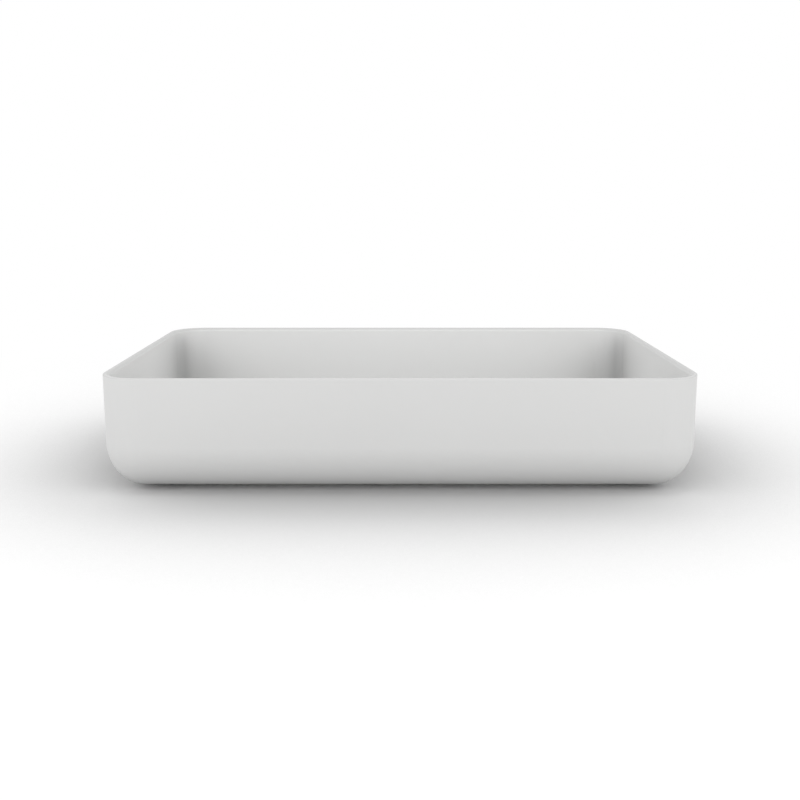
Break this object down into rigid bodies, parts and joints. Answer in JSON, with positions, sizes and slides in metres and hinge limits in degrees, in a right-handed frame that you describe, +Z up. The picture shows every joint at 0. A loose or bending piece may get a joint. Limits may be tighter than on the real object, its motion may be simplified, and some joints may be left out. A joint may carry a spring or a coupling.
{
  "type": "countertop basin",
  "caption": "Rectangular thin-rimmed countertop wash basin with rounded corners and a press-to-close waste with a domed ceramic cover.",
  "frame": {"origin": "on the counter plane under the foot ring, on the axis of the drain, in the middle of the basin", "axes": "+Z up, +X along the long side to the user's right, -Y towards the user"},
  "size_m": [0.6, 0.4, 0.1721],
  "materials": {
    "white_ceramic": "satin",
    "chrome": "polished",
    "silicone": "matte",
    "black_rubber": "matte",
    "white_nylon": "matte",
    "brass": "satin",
    "grey_acetal": "matte",
    "spring_steel": "satin"
  },
  "bodies": {
    "basin": {"basin_bowl": "white_ceramic", "waste_body": "chrome", "flange_seal": "silicone", "under_gasket": "black_rubber", "slip_washer": "white_nylon", "backnut": "brass", "lock_nut": "brass", "click_housing": "grey_acetal", "housing_cap": "grey_acetal", "return_spring": "spring_steel"},
    "plug": {"plug_cover": "white_ceramic", "cover_carrier": "chrome", "plug_seal": "silicone", "click_stem": "brass"},
    "index": {"index_ring": "white_nylon"}
  },
  "joints": [
    {"name": "plug_press", "type": "slide", "parent": "basin", "child": "plug", "axis": [0, 0, -1], "range_m": [0, 0.008], "stiffness_N_per_m": 350, "springref_m": -0.02, "deforming": ["return_spring"]},
    {"name": "index_turn", "type": "hinge", "parent": "basin", "child": "index", "pos_m": [0, 0, -0.0052], "axis": [0, 0, 1], "range_deg": [0, 90]}
  ],
  "couplings": [
    {"joint": "index_turn", "follows": "plug_press", "rad_per_m": 196.35}
  ]
}
